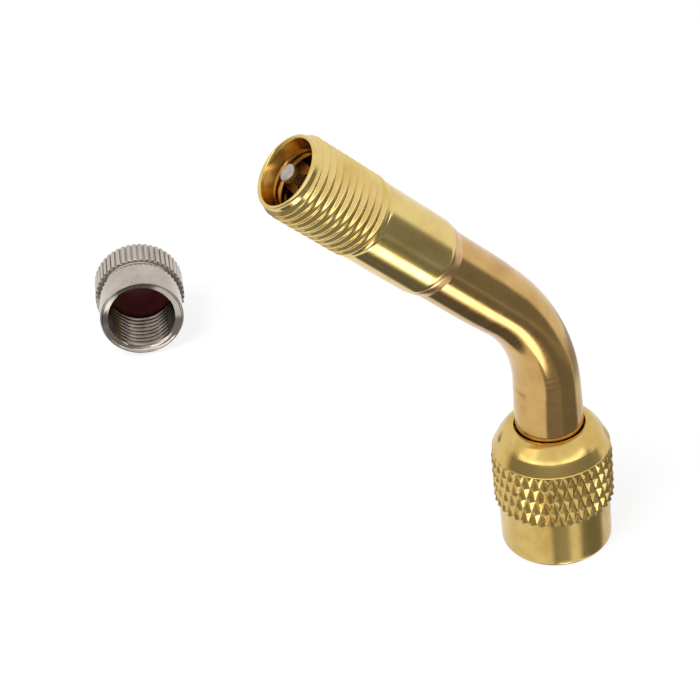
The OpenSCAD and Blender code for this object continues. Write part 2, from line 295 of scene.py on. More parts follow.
# Drawn brass tube: smooth, glossy and browner than the turned parts, and pink near the braze from the torch.
# Its dark brown groove colour paints deep shade where the tube hides itself.
DRAWN = MetalFinish(
    name="drawn_brass_tube", bright="#d0ab6c", dull="#be9558", groove="#3a2814", rough=(0.1, 0.18),
    mark_mm=0.9, mark_lift_mm=0.001, patch_mm=4.5, grain_mm=0.09, grain_lift_mm=0.0005, shade_mm=0.9,
    heat="#d8b08a")
# Brass braze, melted and left as it set: pale pink with a smooth, slightly rippled skin.
BRAZE = MetalFinish(
    name="brass_braze", bright="#d9b280", dull="#c99d6c", groove="#7a5636", rough=(0.16, 0.28),
    mark_mm=0.5, mark_lift_mm=0.002, patch_mm=1.2, grain_mm=0.12, grain_lift_mm=0.002)
# The barrel's bore, reamed and tapped and left unpolished: orange-brown, and darker than the outside as painted
# shade of the hollow.
BORE = MetalFinish(
    name="reamed_brass_bore", bright="#c08e42", dull="#a2742e", groove="#4a300e", rough=(0.16, 0.28),
    mark_mm=0.12, mark_lift_mm=0.0016, patch_mm=1.6, grain_mm=0.05, grain_lift_mm=0.0006)
# Small turned brass of the core, painted dark as the shade deep inside the bore.
CORE = MetalFinish(
    name="shaded_core_brass", bright="#7d5c2c", dull="#5e421a", groove="#3a280e", rough=(0.24, 0.38),
    mark_mm=0.12, mark_lift_mm=0.002, patch_mm=1.4, grain_mm=0.05, grain_lift_mm=0.0008)
# Drawn steel wire, headed flat: grey with a soft sheen.
STEEL = MetalFinish(
    name="drawn_steel_wire", bright="#bcb2aa", dull="#9c948c", groove="#55504a", rough=(0.28, 0.42),
    mark_mm=0.1, mark_lift_mm=0.001, patch_mm=0.8, grain_mm=0.05, grain_lift_mm=0.001)
# Bright nickel on brass: warm grey, mirror-like, with the turning rings showing through the plate.
NICKEL = MetalFinish(
    name="bright_nickel_plate", bright="#beb4a9", dull="#a69c91", groove="#3c362f", rough=(0.1, 0.2),
    mark_mm=0.16, mark_lift_mm=0.0016, patch_mm=3.0, grain_mm=0.07, grain_lift_mm=0.0005)
# The nickel inside the cap, a darker copy that paints its shade: dark grey-brown, still bright on the crests,
# near black in the roots.
SHADED_INNER_PLATE = MetalFinish(
    name="shaded_inner_plate", bright="#786e66", dull="#5c534c", groove="#1a1614", rough=(0.1, 0.2),
    mark_mm=0.16, mark_lift_mm=0.0012, patch_mm=2.0, grain_mm=0.07, grain_lift_mm=0.0005, shade_mm=0.8)

# Moulded nitrile washer: black, matt.
BLACK_RUBBER = RubberFinish(
    name="moulded_black_rubber", base="#141414", pale="#242322", rough=0.6, grain_mm=0.12, grain_lift_mm=0.006)
# Moulded disc in the cap: deep red, matt.
RED_RUBBER = RubberFinish(
    name="moulded_red_rubber", base="#5a1418", pale="#742026", rough=0.5, grain_mm=0.14, grain_lift_mm=0.006)
# Moulded seal ring of the core: brick red, a little waxy.
CORE_SEAL = RubberFinish(
    name="moulded_core_seal", base="#8c3a2c", pale="#a04c3a", rough=0.42, grain_mm=0.1, grain_lift_mm=0.004)


# ---------------------------------------------------------------- turning


def plain(_along: float, _angle: float) -> float:
    """Cuts nothing away."""
    return 0.0


@dataclass
class Run:
    """Points of a turned outline, radius and length in mm, that share one way of being cut."""

    points: list[Point]
    cut: Depth = plain


def ring_count(runs: Sequence[Run]) -> int:
    """Counts the rings that runs of an outline make."""
    return sum(len(run.points) for run in runs)


def steps(start: Point, end: Point, count: int) -> list[Point]:
    """Lists evenly spaced points of a straight line.

    Args:
        start: First point.
        end: Last point.
        count: Number of spaces.

    Returns:
        The points, both ends included.
    """
    return [
        (start[0] + (end[0] - start[0]) * i / count, start[1] + (end[1] - start[1]) * i / count)
        for i in range(count + 1)
    ]


def arc(centre: Point, radius: Point, first: float, last: float, count: int) -> list[Point]:
    """Lists points of an arc of an ellipse.

    Args:
        centre: Centre of the arc.
        radius: Half axes across and along.
        first: Angle of the first point, in degrees.
        last: Angle of the last point, in degrees.
        count: Number of spaces.

    Returns:
        The points, both ends included.
    """
    turns = [math.radians(first + (last - first) * i / count) for i in range(count + 1)]
    return [(centre[0] + radius[0] * math.cos(t), centre[1] + radius[1] * math.sin(t)) for t in turns]


def ramp(value: float, low: float, high: float) -> float:
    """Rises smoothly from 0 at low to 1 at high."""
    t = min(max((value - low) / (high - low), 0.0), 1.0)
    return t * t * (3.0 - 2.0 * t)


def even_gap(value: float) -> float:
    """Gives the distance to the nearest even number, from 0 to 1."""
    return 1.0 - abs(value % 2.0 - 1.0)


def ring_noise(angle: float, scale: float, level: float) -> float:
    """Gives noise from -1 to 1 that closes on itself round a circle; a larger scale has more waves."""
    return noise.noise(Vector((math.cos(angle) * scale, math.sin(angle) * scale, level)))


def polar(place: Matrix, radius: float, angle: float, along: float) -> Vector:
    """Gives a point round an axis, in metres, from lengths in mm in the axis's own frame."""
    return place @ Vector((radius * math.cos(angle), radius * math.sin(angle), along)) * MM


@dataclass(frozen=True)
class Thread:
    """A right-handed rolled thread with rounded crests and roots, in mm.

    The flank is the share of a tooth's half that slopes; the rest is its crest.
    """

    pitch: float
    depth: float
    start: float
    end: float
    fade: float
    flank: float = 0.94

    def cut(self, along: float, angle: float) -> float:
        """Says how deep the thread is cut.

        Args:
            along: Place along the axis.
            angle: Angle round the axis, in radians.

        Returns:
            Depth below the crest.
        """
        tooth = even_gap(2.0 * (along / self.pitch - angle / TAU))
        height = ramp(tooth, 0.0, self.flank)
        begun = ramp(along, self.start - self.fade, self.start)
        ended = ramp(along, self.end, self.end + self.fade)
        return self.depth * (1.0 - height) * (begun * (1.0 - ended))

    def cut_outwards(self, along: float, angle: float) -> float:
        """Cuts the same thread into the wall of a hole, where a depth below 0 goes away from the axis."""
        return -self.cut(along, angle)


def new_piece(name: str, mesh: bpy.types.Mesh, material: bpy.types.Material,
              sharp: float = 32.0) -> bpy.types.Object:
    """Links a mesh to the scene as a smooth-shaded piece.

    Args:
        name: Name of the piece.
        mesh: Its mesh.
        material: Its material.
        sharp: Angle in degrees above which an edge stays sharp.

    Returns:
        The new object.
    """
    mesh.materials.append(material)
    mesh.shade_smooth()
    mesh.set_sharp_from_angle(angle=math.radians(sharp))
    piece = bpy.data.objects.new(name, mesh)
    bpy.context.scene.collection.objects.link(piece)
    return piece


def grid_mesh(name: str, rows: Sequence[Sequence[Vector]], feed: Sequence[float],
              closed: bool) -> bpy.types.Mesh:
    """Makes a mesh from rings of points.

    Args:
        name: Name of the mesh.
        rows: Rings of points in metres; a ring of one point is a pole.
        feed: Length along the outline at each ring, in mm, for the tool marks.
        closed: Whether the last ring joins the first.

    Returns:
        The mesh, with its faces turned outwards.
    """
    mesh = bpy.data.meshes.new(name)
    bm = bmesh.new()
    marks = bm.verts.layers.float.new("feed")
    rings = []
    for row, length in zip(rows, feed):
        ring = [bm.verts.new(p) for p in row]
        for vert in ring:
            vert[marks] = length
        rings.append(ring)
    pairs = list(zip(rings, rings[1:])) + ([(rings[-1], rings[0])] if closed else [])
    for a, b in pairs:
        sides = max(len(a), len(b))
        for k in range(sides):
            m = (k + 1) % sides
            if len(a) == 1:
                bm.faces.new((a[0], b[k], b[m]))
            elif len(b) == 1:
                bm.faces.new((a[k], b[0], a[m]))
            else:
                bm.faces.new((a[k], b[k], b[m], a[m]))
    bmesh.ops.recalc_face_normals(bm, faces=bm.faces)
    bm.to_mesh(mesh)
    bm.free()
    return mesh


def turned_mesh(name: str, runs: Sequence[Run], sides: int, place: Matrix,
                closed: bool = True) -> bpy.types.Mesh:
    """Turns an outline round an axis and cuts threads, knurls or flutes into it.

    Args:
        name: Name of the mesh.
        runs: The outline, in order.
        sides: Number of points round the axis.
        place: Takes the axis's own frame, in mm, to the scene's.
        closed: Whether the outline is a loop.

    Returns:
        The mesh, in metres.
    """
    rows, feed, length = [], [], 0.0
    before: Point | None = None
    for run in runs:
        for r, z in run.points:
            if before is not None:
                length += math.hypot(r - before[0], z - before[1])
            before = (r, z)
            if r < POLE_R:
                rows.append([polar(place, 0.0, 0.0, z)])
            else:
                angles = [TAU * k / sides for k in range(sides)]
                rows.append([polar(place, r - run.cut(z, a), a, z) for a in angles])
            feed.append(length)
    return grid_mesh(name, rows, feed, closed)


def refinish(mesh: bpy.types.Mesh, finish: MetalFinish, first: int) -> None:
    """Gives the inside of a turned mesh a finish of its own.

    Args:
        mesh: The mesh, with its outside's finish on it.
        finish: Finish of the inside.
        first: Number of the first point that lies inside.
    """
    mesh.materials.append(finish.material())
    for face in mesh.polygons:
        if min(face.vertices) >= first:
            face.material_index = 1


def settle(piece: bpy.types.Object, body: Body, slot: Slot, *nodes: str) -> bpy.types.Object:
    """Sets a piece on its body and hides the solids that it stands for.

    Args:
        piece: The piece, in place.
        body: Body that it rides on.
        slot: Material slot of the record; not used.
        *nodes: CAD nodes that it replaces.

    Returns:
        The piece.
    """
    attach(piece, body.value)
    if nodes:
        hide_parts(*nodes)
    LOG.info("%s rides on %s, %d faces", piece.name, body.value, len(piece.data.polygons))
    return piece


# ---------------------------------------------------------------- pieces


@dataclass
class Layout:
    """Where the axes of the solids lie, in mm."""

    turn_deg: float = 43.0
    bend_r: float = 16.0
    z_seat: float = 9.8
    z_bend: float = 18.4
    upper_leg: float = 10.3
    barrel_len: float = 17.4
    floor_z: float = -0.4
    cap_spot: Triple = (-22.0, 60.0, 4.98844)
    cap_heading_deg: float = -108.0
    cap_len: float = 9.2
    flutes: int = 48

    def in_bend(self, turn: float) -> Matrix:
        """Gives the frame in the bend, with Z along the tube, from the angle turned so far in radians."""
        spot = Vector((-self.bend_r * (1.0 - math.cos(turn)), 0.0, self.z_bend + self.bend_r * math.sin(turn)))
        return Matrix.Translation(spot) @ Matrix.Rotation(-turn, 4, "Y")

    def on_leg(self, along: float) -> Matrix:
        """Gives the frame on the upper leg, with Z up the leg, at a distance from the end of the bend."""
        return self.in_bend(math.radians(self.turn_deg)) @ Matrix.Translation((0.0, 0.0, along))

    def mouth(self) -> Matrix:
        """Gives the frame of the barrel's mouth, with Z inwards."""
        return self.on_leg(self.upper_leg + self.barrel_len) @ Matrix.Rotation(math.pi, 4, "X")

    def cap(self) -> Matrix:
        """Gives the frame of the cap, with Z from its crown to its mouth."""
        heading = Matrix.Rotation(math.radians(self.cap_heading_deg), 4, "Z")
        lying = heading @ Matrix.Rotation(math.pi / 2.0, 4, "Y")
        ridge = Matrix.Rotation(math.pi / self.flutes, 4, "Z")
        crown = Matrix.Translation((0.0, 0.0, -self.cap_len / 2.0))
        return Matrix.Translation(self.cap_spot) @ lying @ ridge @ crown


@dataclass
class BentTube:
    """The drawn tube, flattened a little in its bend as a bent tube is, in mm.

    The flattening starts within the lead of each leg and reaches the lead's share where the bend begins.
    """

    layout: Layout
    radius: float = 3.35
    bore: float = 2.45
    spigot: float = 3.0
    spigot_len: float = 3.5
    squeeze: float = 0.09
    swell: float = 0.02
    lead: float = 3.0
    lead_share: float = 0.35
    crown_power: float = 0.8
    heat_most: float = 0.85
    heat_range: Pair = (3.6, 8.0)
    leg_steps: int = 13
    bend_steps: int = 48
    feed_step: float = 0.6
    sides: int = 96

    def frames(self) -> list[tuple[Matrix, float, float]]:
        """Lists the frames along the tube.

        Returns:
            For each station its frame, how far into the bend it lies (0 to 1 and back) and its outer radius.
        """
        lay = self.layout
        found: list[tuple[Matrix, float, float]] = []
        for i in range(self.leg_steps):
            z = lay.z_seat + (lay.z_bend - lay.z_seat) * i / self.leg_steps
            bent = self.lead_share * ramp(z, lay.z_bend - self.lead, lay.z_bend)
            found.append((Matrix.Translation((0.0, 0.0, z)), bent, self.radius))
        for i in range(self.bend_steps + 1):
            crown = math.sin(math.pi * i / self.bend_steps) ** self.crown_power
            bent = self.lead_share + (1.0 - self.lead_share) * crown
            found.append((lay.in_bend(math.radians(lay.turn_deg) * i / self.bend_steps), bent, self.radius))
        for i in range(1, self.leg_steps + 1):
            v = lay.upper_leg * i / self.leg_steps
            found.append((lay.on_leg(v), self.lead_share * (1.0 - ramp(v, 0.0, self.lead)), self.radius))
        for v in (lay.upper_leg, lay.upper_leg + self.spigot_len):
            found.append((lay.on_leg(v), 0.0, self.spigot))
        return found

    def mark_heat(self, mesh: bpy.types.Mesh) -> None:
        """Marks how much the torch reddened each point, most at the braze.

        Args:
            mesh: The tube's mesh.
        """
        joint = self.layout.on_leg(self.layout.upper_leg).translation * MM
        heat = mesh.attributes.new("heat", "FLOAT", "POINT")
        for vert in mesh.vertices:
            far = (vert.co - joint).length / MM
            heat.data[vert.index].value = self.heat_most * (1.0 - ramp(far, *self.heat_range))

    def build(self) -> bpy.types.Object:
        """Sweeps the tube, outside and bore, and sets it in place.

        Returns:
            The piece.
        """
        outside: list[list[Vector]] = []
        inside: list[list[Vector]] = []
        feed: list[float] = []
        for station, (frame, bent, radius) in enumerate(self.frames()):
            for rings, r in ((outside, radius), (inside, self.bore)):
                ring = []
                for k in range(self.sides):
                    a = TAU * k / self.sides
                    across = r * (1.0 - self.squeeze * bent) * math.cos(a)
                    beside = r * (1.0 + self.swell * bent) * math.sin(a)
                    ring.append(frame @ Vector((across, beside, 0.0)) * MM)
                rings.append(ring)
            feed.append(station * self.feed_step)
        mesh = grid_mesh("bent_tube", outside + inside[::-1], feed + feed[::-1], True)
        self.mark_heat(mesh)
        piece = new_piece("bent_tube", mesh, DRAWN.material())
        return settle(piece, Body.ELBOW, Slot.DRAWN_BRASS, "bend_tube")


@dataclass
class ValveBarrel:
    """The turned barrel: outer valve thread, plain part, and the core's thread in its bore, in mm."""

    layout: Layout
    rim_r: float = 3.45
    crest_r: float = 3.85
    plain_r: float = 3.7
    socket_r: float = 3.02
    socket_z: float = 13.9
    air_r: float = 2.2
    core_r: float = 2.6
    lead_len: float = 1.0
    groove_depth: float = 0.2
    groove_range: Pair = (8.5, 8.9)
    sides: int = 168
    outer: Thread = Thread(pitch=VALVE_PITCH, depth=0.29, start=0.9, end=8.2, fade=0.6)
    inner: Thread = Thread(pitch=0.706, depth=0.22, start=1.3, end=6.0, fade=0.4)

    def outer_cut(self, along: float, angle: float) -> float:
        """Cuts the outer thread, with the turned lead at the mouth and the run-out groove.

        Args:
            along: Depth below the mouth.
            angle: Angle round the barrel.

        Returns:
            Depth below the crest radius.
        """
        lead = max(0.0, self.lead_len - along)
        groove = self.groove_depth * ramp(along, *self.groove_range)
        return max(lead, groove, self.outer.cut(along, angle))

    def build(self) -> bpy.types.Object:
        """Turns and threads the barrel.

        Returns:
            The piece.
        """
        end = self.layout.barrel_len
        rim = arc((3.25, 0.2), (0.2, 0.2), -90.0, 0.0, 6)
        tail = arc((3.4, 16.9), (0.3, 0.72), 0.0, 41.0, 8)
        neck = [(3.65, 9.1), (3.67, 9.15), (self.plain_r, 9.25)]
        socket = [(3.6, end), (self.socket_r, end), (self.socket_r, self.socket_z), (self.air_r, self.socket_z)]
        outside = [
            Run([(3.05, 0.16), (3.08, 0.06), (3.15, 0.0), *rim,
                 *steps((self.rim_r, 0.26), (self.rim_r, 0.58), 2)]),
            Run(steps((self.crest_r, 0.6), (self.crest_r, 9.08), 214), self.outer_cut),
            Run([*neck, *steps((self.plain_r, 9.4), (self.plain_r, 16.8), 14), *tail]),
        ]
        inside = [
            Run([*socket, *steps((self.air_r, 13.7), (self.air_r, 8.7), 6), (2.58, 6.7)]),
            Run(steps((self.core_r, 6.6), (self.core_r, 1.22), 66), self.inner.cut_outwards),
            Run(steps((2.62, 1.2), (3.02, 0.26), 5)),
        ]
        mesh = turned_mesh("threaded_barrel", outside + inside, self.sides, self.layout.mouth())
        piece = new_piece("threaded_barrel", mesh, TURNED.material(), sharp=40.0)
        # The bore takes the darker brass, painted shade.
        refinish(mesh, BORE, self.sides * ring_count(outside))
        return settle(piece, Body.ELBOW, Slot.TURNED_BRASS, "valve_barrel")


@dataclass
class BrazeFillet:
    """The ring of braze between the barrel's end and the tube, with an uneven edge, in mm.

    Each noise has its scale round the ring and its level.
    """

    layout: Layout
    length: float = 1.3
    reach: float = 0.92
    wander: float = 0.16
    wander_noise: Pair = (1.6, 4.2)
    lift: float = 0.02
    lift_noise: Pair = (3.0, 9.1)
    feed_step: float = 0.2
    sides: int = 120

    def build(self) -> bpy.types.Object:
        """Lays the fillet round the tube.

        Returns:
            The piece.
        """
        place = self.layout.mouth()
        start = self.layout.barrel_len
        outline = [(3.36, 0.0), (3.6, 0.0), (3.61, 0.1), (3.57, 0.4), (3.5, 0.75), (3.42, 1.05),
                   (3.37, self.length), (3.352, self.length)]
        rows = [[] for _ in outline]
        for k in range(self.sides):
            a = TAU * k / self.sides
            wander = self.wander * ring_noise(a, *self.wander_noise)
            lift = self.lift * ring_noise(a, *self.lift_noise)
            for row, (r, d) in zip(rows, outline):
                share = d / self.length
                along = start + d * (self.reach + wander * share)
                row.append(polar(place, r + lift * math.sin(math.pi * share), a, along))
        feed = [i * self.feed_step for i in range(len(outline))]
        mesh = grid_mesh("braze_fillet", rows, feed, True)
        piece = new_piece("braze_fillet", mesh, BRAZE.material(), sharp=60.0)
        return settle(piece, Body.ELBOW, Slot.BRAZE, "braze_ring")


@dataclass
class SwivelNut:
    """The captive nut: rounded skirt, diamond knurl, domed lip, thread and chamber, in mm."""

    starts: int = 39
    rows: int = 4
    row_steps: int = 12
    z_knurl: float = 5.05
    knurl_h: float = 5.95
    peak: float = 6.0
    valley: float = 5.697
    flat: float = 1.1
    wear: float = 0.03
    wear_scale: float = 14.0
    wear_stretch: float = 2.2
    fade_z: float = 9.9
    fade_past: float = 0.3
    skirt_r: float = 5.55
    shoulder: float = 5.75
    chamber_r: float = 4.6
    hole_r: float = 3.55
    thread_r: float = 3.9
    sides: int = 468
    thread: Thread = Thread(pitch=VALVE_PITCH, depth=0.4, start=0.5, end=4.9, fade=0.5)

    def knurl_cut(self, along: float, angle: float) -> float:
        """Cuts the two crossing families of grooves, worn a little, and eases them off towards the dome.

        Args:
            along: Height on the nut's axis.
            angle: Angle round the nut.

        Returns:
            Depth below the points of the knurl.
        """
        across = angle / TAU * 2.0 * self.starts
        up = (along - self.z_knurl) / (self.knurl_h / self.rows)
        height = min(even_gap(across + up), even_gap(across - up), 1.0 / self.flat) * self.flat
        wear = self.wear * ring_noise(angle, self.wear_scale, along * self.wear_stretch)
        worn = (self.peak - self.valley) * (1.0 - height) + max(wear, 0.0)
        fade = ramp(along, self.fade_z, self.z_knurl + self.knurl_h + self.fade_past)
        return max(worn, (self.peak - self.shoulder) * fade)

    def build(self) -> bpy.types.Object:
        """Turns, knurls and threads the nut.

        Returns:
            The piece.
        """
        top = self.z_knurl + self.knurl_h
        rim = arc((5.1, 0.05), (0.45, 0.45), -90.0, 0.0, 8)
        bead = [(5.7, top - 0.12), (5.8, top - 0.09), (5.82, top - 0.03), (5.79, top + 0.02)]
        side = [*steps((self.shoulder, top + 0.04), (5.22, 12.16), 5), (5.19, 12.215)]
        dome = arc((0.236, 9.2), (5.8, 5.8), 31.8, 45.0, 9)
        lip = [(4.25, 13.36), (4.1, 13.46), (3.95, 13.525), (3.8, 13.565), (3.6, 13.59), (3.53, 13.575),
               (3.49, 13.53), (3.47, 13.2)]
        runs = [
            Run([(4.28, -0.38), (4.34, -0.4), (4.7, -0.4), *rim,
                 *steps((self.skirt_r, 0.5), (self.skirt_r, 4.9), 6), (self.skirt_r, self.z_knurl)]),
            Run(steps((self.peak, self.z_knurl), (self.peak, top - 0.14), self.rows * self.row_steps),
                self.knurl_cut),
            Run([*bead, *side, *dome, *lip]),
            Run([(self.hole_r, 11.9), (self.chamber_r, 11.9),
                 *steps((self.chamber_r, 11.6), (self.chamber_r, 6.1), 4), (self.thread_r, 5.42)]),
            Run(steps((self.thread_r, 5.4), (self.thread_r, 0.02), 55), self.thread.cut_outwards),
            Run([(3.92, -0.02), (4.24, -0.35)]),
        ]
        mesh = turned_mesh("knurled_nut", runs, self.sides, Matrix.Identity(4))
        piece = new_piece("knurled_nut", mesh, TUMBLED.material(), sharp=28.0)
        return settle(piece, Body.NUT, Slot.TURNED_BRASS, "swivel_nut")


@dataclass
class ValveCore:
    """The core's headed pin and the spring that it slides against, in mm.

    The closed share of each end of the spring lies nearly flat, and the rest takes the open rise.
    """

    layout: Layout
    pin_r: float = 0.5
    head_r: float = 0.81
    head_round: float = 0.16
    stop_r: float = 1.05
    rivet_r: float = 0.8
    pin_sides: int = 56
    coil_r: float = 0.91
    wire_r: float = 0.14
    wire_sides: int = 12
    turns: int = 6
    turn_steps: int = 36
    closed_share: float = 0.12
    open_rise: float = 0.86
    feed_step: float = 0.1
    spring_from: float = 6.57
    spring_to: float = 10.68
    travel: float = 1.2

    def pin(self) -> bpy.types.Object:
        """Turns the pin with its crowned head, stop and riveted end.

        Returns:
            The piece.
        """
        head = arc((self.head_r - self.head_round, 0.31), (self.head_round, self.head_round), -90.0, 0.0, 5)
        run = Run([
            (0.0, 0.152), (0.22, 0.153), (0.5, 0.16), *head, (self.head_r, 0.68), (0.76, 0.75),
            (self.pin_r, 0.75), (self.pin_r, 6.05), (self.stop_r, 6.05), (self.stop_r, 6.55),
            (self.pin_r, 6.55), (self.pin_r, 12.9), (self.rivet_r, 12.9), (self.rivet_r, 13.08),
            (0.62, 13.26), (0.0, 13.3)])
        mesh = turned_mesh("headed_pin", [run], self.pin_sides, self.layout.mouth(), closed=False)
        piece = new_piece("headed_pin", mesh, STEEL.material())
        return settle(piece, Body.PIN, Slot.PIN_STEEL, "core_pin")

    def spring(self) -> bpy.types.Object:
        """Winds the spring and sets it in place.

        Returns:
            The piece.
        """
        place = self.layout.mouth()
        rows, feed = [], []
        count = self.turns * self.turn_steps
        low, high = self.spring_from + self.wire_r, self.spring_to - self.wire_r
        for i in range(count + 1):
            a = TAU * self.turns * i / count
            share = i / count
            opened = min(max((share - self.closed_share) / (1.0 - 2.0 * self.closed_share), 0.0), 1.0)
            eased = opened * self.open_rise + share * (1.0 - self.open_rise)
            ring = []
            for k in range(self.wire_sides):
                b = TAU * k / self.wire_sides
                z = low + (high - low) * eased + self.wire_r * math.sin(b)
                ring.append(polar(place, self.coil_r + self.wire_r * math.cos(b), a, z))
            rows.append(ring)
            feed.append(self.feed_step * i)
        first, last = [sum(rows[i], Vector()) / self.wire_sides for i in (0, -1)]
        mesh = grid_mesh("closing_spring", [[first], *rows, [last]], [feed[0], *feed, feed[-1]], False)
        piece = new_piece("closing_spring", mesh, STEEL.material(), sharp=50.0)
        settle(piece, Body.ELBOW, Slot.PIN_STEEL, "core_spring")
        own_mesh(piece)
        return piece

    def build(self) -> list[bpy.types.Object]:
        """Makes the pin and its spring."""
        return [self.pin(), self.spring()]


@dataclass
class DustCap:
    """The cap: fluted crown, plain skirt, thread inside and a rubber disc at its end, in mm.

    The plain nickel goes over the rim and the first rings inside it; past them the inside takes a darker copy,
    painted shade.
    """

    layout: Layout
    crown_r: float = 5.4
    skirt_r: float = 5.0
    thread_r: float = 3.9
    recess_r: float = 4.1
    disc_r: float = 4.08
    disc_z: Pair = (1.4, 2.4)
    flute_depth: float = 0.22
    flute_start: Pair = (0.4, 0.62)
    flute_end: Pair = (4.3, 4.42)
    ridge_share: float = 0.55
    lead_z: float = 8.65
    lead_slope: float = 2.1
    unshaded_rings: int = 6
    sides: int = 480
    disc_sides: int = 120
    thread: Thread = Thread(pitch=VALVE_PITCH, depth=0.46, start=3.0, end=9.1, fade=0.5)

    def flute_cut(self, along: float, angle: float) -> float:
        """Cuts the flutes between rounded ridges.

        Args:
            along: Length from the crown's end.
            angle: Angle round the cap.

        Returns:
            Depth below the ridges.
        """
        wave = 0.5 - 0.5 * math.cos(angle * self.layout.flutes)
        ridge = 1.0 - ramp(wave, self.ridge_share, 1.0)
        share = ramp(along, *self.flute_start) * (1.0 - ramp(along, *self.flute_end))
        return self.flute_depth * (1.0 - share * ridge)

    def thread_cut(self, along: float, angle: float) -> float:
        """Cuts the cap's thread outwards into the wall, with a cone that leads into it."""
        return -max(self.thread.cut(along, angle), self.lead_slope * (along - self.lead_z))

    def shell(self) -> bpy.types.Object:
        """Turns, flutes and threads the shell.

        Returns:
            The piece.
        """
        seat, face = self.disc_z
        bevel = arc((4.6, 0.5), (0.5, 0.5), -90.0, 0.0, 8)
        step = [(5.02, 4.44), (4.96, 4.48), (4.97, 4.56), (self.skirt_r, 4.62)]
        rim = [*arc((4.88, 9.08), (0.12, 0.12), 0.0, 90.0, 6), (4.8, 9.18), (4.74, 9.12), (4.7, 9.04)]
        outside = [
            Run([(0.0, 0.04), (1.5, 0.04), (3.2, 0.02), (4.2, 0.0), *bevel[:-1]]),
            Run(steps((self.crown_r, 0.5), (self.crown_r, 4.4), 39), self.flute_cut),
            Run([*step, *steps((self.skirt_r, 4.9), (self.skirt_r, 8.9), 6), *rim]),
        ]
        inside = [
            Run(steps((self.thread_r, 9.0), (self.thread_r, 2.66), 112), self.thread_cut),
            Run([(self.thread_r, 2.62), (3.86, 2.5), (self.thread_r, 2.42), (self.recess_r, face),
                 (self.recess_r, seat), (2.0, seat), (0.0, seat)]),
        ]
        mesh = turned_mesh("fluted_cap", outside + inside, self.sides, self.layout.cap(), closed=False)
        piece = new_piece("fluted_cap", mesh, NICKEL.material(), sharp=34.0)
        # The first ring is the crown's pole, a single point.
        # Past the rim and the first rings inside, the cap takes the darker plate, painted shade.
        refinish(mesh, SHADED_INNER_PLATE, 1 + self.sides * (ring_count(outside) + self.unshaded_rings - 1))
        return settle(piece, Body.ELBOW, Slot.NICKEL, "cap_shell")

    def disc(self) -> bpy.types.Object:
        """Moulds the disc that seals on the barrel's mouth.

        Returns:
            The piece.
        """
        seat, face = self.disc_z
        edge = arc((3.98, 2.3), (0.1, 0.1), 0.0, 90.0, 4)
        run = Run([(0.0, seat), (self.disc_r, seat), *edge, (3.5, face), (3.3, 2.36), (2.2, 2.34),
                   (2.0, face), (0.0, face)])
        mesh = turned_mesh("cap_disc", [run], self.disc_sides, self.layout.cap(), closed=False)
        piece = new_piece("cap_disc", mesh, RED_RUBBER.material())
        return settle(piece, Body.ELBOW, Slot.RED_RUBBER, "cap_seal")

    def build(self) -> list[bpy.types.Object]:
        """Makes the shell and its disc."""
        return [self.shell(), self.disc()]


@dataclass
class HiddenParts:
    """Solids whose shape is right as it is: they keep it, and get eased edges and their finishes."""

    nodes: dict[str, bpy.types.Object]
    ease_mm: float = 0.05
    ease_steps: int = 2

    def dress(self) -> None:
        """Gives each carried-over solid its material and a small edge break."""
        # The core's solids take the brass that is painted dark as shade.
        core, turned = CORE.material(), TURNED.material()
        black, seal = BLACK_RUBBER.material(), CORE_SEAL.material()
        wanted = {
            "core_plug": core, "core_barrel": core, "core_cup": core, "depressor_pin": core,
            "tail_collar": turned, "core_gasket": seal, "core_cup_seal": black, "nut_gasket": black,
        }
        for name, material in wanted.items():
            node = self.nodes[name]
            node.data.materials.clear()
            node.data.materials.append(material)
            ease = node.modifiers.new("eased_edges", "BEVEL")
            ease.width = self.ease_mm * MM
            ease.segments = self.ease_steps
            ease.limit_method = "ANGLE"
            LOG.info("%s dressed with %s", name, material.name)


# ---------------------------------------------------------------- studio


@dataclass(frozen=True)
class Lamp:
    """A soft rectangular lamp, in metres and watts."""

    name: str
    spot: Triple
    size: Pair
    watts: float


@dataclass(frozen=True)
class RoomPatch:
    """A darker or brighter patch of the room that metal reflects, in degrees round and above the horizon."""

    azimuth: Pair
    elevation: Pair
    soft: float
    strength: float


LAMPS = (
    Lamp("key", spot=(-0.30, -0.10, 0.42), size=(0.28, 0.28), watts=2.6),
    Lamp("fill", spot=(0.34, -0.26, 0.30), size=(0.22, 0.3), watts=0.9),
)
# The white room has a strength of 1. A later patch lies over the ones before it.
ROOM = (
    # The dark horizon in front, a bright strip above it and a window high on the left.
    RoomPatch((-207.0, -36.0), (-24.0, 20.0), soft=6.0, strength=0.28),
    RoomPatch((-192.0, -44.0), (19.0, 28.0), soft=4.0, strength=2.5),
    RoomPatch((-190.0, -155.0), (31.0, 66.0), soft=10.0, strength=1.7),
    # A dark corner on the right, and the shaded table in front and on the right.
    RoomPatch((-75.0, -20.0), (-27.0, 4.0), soft=12.0, strength=0.25),
    RoomPatch((-130.0, -78.0), (-56.0, -26.0), soft=6.0, strength=0.28),
    RoomPatch((-80.0, -8.0), (-54.0, -26.0), soft=14.0, strength=0.22),
    # The table's grey edges on the right and behind, and its paler top on the right.
    RoomPatch((-5.0, 42.0), (-34.0, -23.0), soft=6.0, strength=0.4),
    RoomPatch((0.0, 44.0), (-62.0, -33.0), soft=6.0, strength=0.8),
    RoomPatch((98.0, 160.0), (-31.0, -22.0), soft=6.0, strength=0.4),
    # The dark under the part, and the light that falls on the table in front.
    RoomPatch((-180.0, 180.0), (-100.0, -70.0), soft=6.0, strength=0.14),
    RoomPatch((-76.0, -46.0), (-63.0, -49.0), soft=8.0, strength=1.8),
    RoomPatch((-118.0, -70.0), (-64.0, -49.5), soft=7.0, strength=3.8),
)


